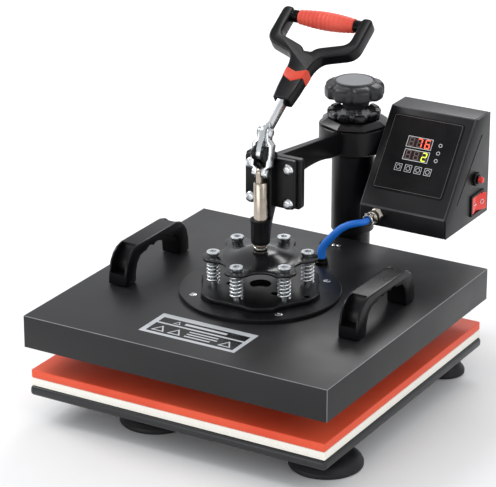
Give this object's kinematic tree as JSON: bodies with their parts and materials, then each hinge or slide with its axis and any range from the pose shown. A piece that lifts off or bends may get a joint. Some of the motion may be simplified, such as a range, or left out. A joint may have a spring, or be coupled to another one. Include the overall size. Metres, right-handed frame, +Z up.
{
  "type": "heat press",
  "caption": "Swing-away flat heat press: padded bed, heated platen on springs, toggle lever with loop handle, column with pressure knob and a sloped control box.",
  "frame": {"origin": "centre of the footprint, on the table the rubber feet stand on", "axes": "+X to the right, +Y to the back, +Z up; the plunger and bed centre stand at Y = -45 mm, the column at Y = +177 mm"},
  "size_m": [0.39, 0.48, 0.4228],
  "materials": {
    "powder_black": "satin black powder coat",
    "foot_rubber": "matte black rubber",
    "foam_white": "white silicone foam",
    "silicone_orange": "orange-red silicone rubber",
    "brass": "machined",
    "zinc": "bright zinc plate",
    "nickel": "nickel plate",
    "plastic_black": "moulded black plastic",
    "grip_orange": "soft orange grip",
    "aluminium": "non-stick coated casting",
    "wool": "ceramic fibre",
    "panel": "black overlay",
    "board": "green circuit board",
    "red_plastic": "red moulded plastic",
    "lead_blue": "blue silicone sleeve"
  },
  "bodies": {
    "base": {"bed_plate": "powder_black", "left_rail": "powder_black", "right_rail": "powder_black", "column_plate": "powder_black", "foot_front_left": "foot_rubber", "foot_front_right": "foot_rubber", "foot_back_left": "foot_rubber", "foot_back_right": "foot_rubber", "foam_pad": "foam_white", "silicone_pad": "silicone_orange", "column_post": "powder_black", "column_tube": "powder_black", "lift_nut": "brass"},
    "lift": {"lock_ring": "powder_black"},
    "arm": {"swing_arm": "powder_black", "hub_cap": "powder_black", "toggle_housing": "powder_black", "pivot_pin": "zinc", "case_shell": "powder_black", "case_cap_right": "powder_black", "front_panel": "panel", "control_board": "board", "rocker_body": "plastic_black", "breaker_body": "plastic_black", "lead_socket": "nickel", "lead_plug": "nickel", "power_inlet": "plastic_black", "heater_lead": "lead_blue"},
    "knob": {"pressure_knob": "plastic_black", "knob_screw": "zinc"},
    "lever": {"lever_bar": "zinc", "handle_frame": "plastic_black", "grip_bar": "plastic_black", "grip_sleeve": "grip_orange", "crank_pin": "zinc"},
    "links": {"link_left": "zinc", "link_right": "zinc"},
    "plunger": {"plunger_rod": "nickel", "plunger_nut": "nickel", "dome_plate": "powder_black"},
    "platen": {"flange_disc": "powder_black", "spring_bolt_1": "zinc", "spring_bolt_2": "zinc", "spring_bolt_3": "zinc", "spring_bolt_4": "zinc", "spring_bolt_5": "zinc", "spring_bolt_6": "zinc", "springs": "zinc", "platen_cover": "powder_black", "heating_plate": "aluminium", "insulation_blanket": "wool", "lead_gland": "plastic_black", "pull_left": "plastic_black", "pull_right": "plastic_black"},
    "rocker": {"power_rocker": "red_plastic"},
    "breaker": {"breaker_button": "red_plastic"},
    "key_1": {"key_1": "plastic_black"},
    "key_2": {"key_2": "plastic_black"},
    "key_3": {"key_3": "plastic_black"},
    "key_4": {"key_4": "plastic_black"}
  },
  "joints": [
    {"name": "arm_height", "type": "slide", "parent": "base", "child": "lift", "axis": [0, 0, 1], "range_m": [0, 0.012]},
    {"name": "arm_swing", "type": "hinge", "parent": "lift", "child": "arm", "pos_m": [0, 0.177, 0.25], "axis": [0, 0, 1], "range_deg": [-120, 120]},
    {"name": "knob_turn", "type": "hinge", "parent": "lift", "child": "knob", "pos_m": [0, 0.177, 0.3], "axis": [0, 0, 1], "range_deg": [0, 2160]},
    {"name": "lever_pull", "type": "hinge", "parent": "arm", "child": "lever", "pos_m": [0, -0.045, 0.298], "axis": [1, 0, 0], "range_deg": [0, 141]},
    {"name": "link_fold", "type": "hinge", "parent": "lever", "child": "links", "pos_m": [0, -0.03486, 0.31975], "axis": [1, 0, 0], "range_deg": [-101, 0]},
    {"name": "plunger_press", "type": "slide", "parent": "arm", "child": "plunger", "axis": [0, 0, -1], "range_m": [0, 0.0281]},
    {"name": "platen_float", "type": "slide", "parent": "plunger", "child": "platen", "axis": [0, 0, 1], "range_m": [0, 0.008], "stiffness_N_per_m": 12000, "springref_m": -0.006, "deforming": ["springs"]},
    {"name": "rocker_tilt", "type": "hinge", "parent": "arm", "child": "rocker", "pos_m": [0.157, 0.196, 0.189], "axis": [0, 0, 1], "range_deg": [-10, 10]},
    {"name": "breaker_press", "type": "slide", "parent": "arm", "child": "breaker", "axis": [-1, 0, 0], "range_m": [0, 0.003], "stiffness_N_per_m": 1200, "springref_m": -0.001},
    {"name": "key_1_press", "type": "slide", "parent": "arm", "child": "key_1", "axis": [0, 0.7953, -0.6062], "range_m": [0, 0.0005], "stiffness_N_per_m": 1500, "springref_m": -0.0006},
    {"name": "key_2_press", "type": "slide", "parent": "arm", "child": "key_2", "axis": [0, 0.7953, -0.6062], "range_m": [0, 0.0005], "stiffness_N_per_m": 1500, "springref_m": -0.0006},
    {"name": "key_3_press", "type": "slide", "parent": "arm", "child": "key_3", "axis": [0, 0.7953, -0.6062], "range_m": [0, 0.0005], "stiffness_N_per_m": 1500, "springref_m": -0.0006},
    {"name": "key_4_press", "type": "slide", "parent": "arm", "child": "key_4", "axis": [0, 0.7953, -0.6062], "range_m": [0, 0.0005], "stiffness_N_per_m": 1500, "springref_m": -0.0006}
  ],
  "couplings": [
    {"joint": "knob_turn", "follows": "arm_height", "rad_per_m": 3141.6},
    {"joint": "link_fold", "follows": "lever_pull", "ratio": -0.71461},
    {"joint": "plunger_press", "follows": "lever_pull", "m_per_rad": 0.011413}
  ]
}
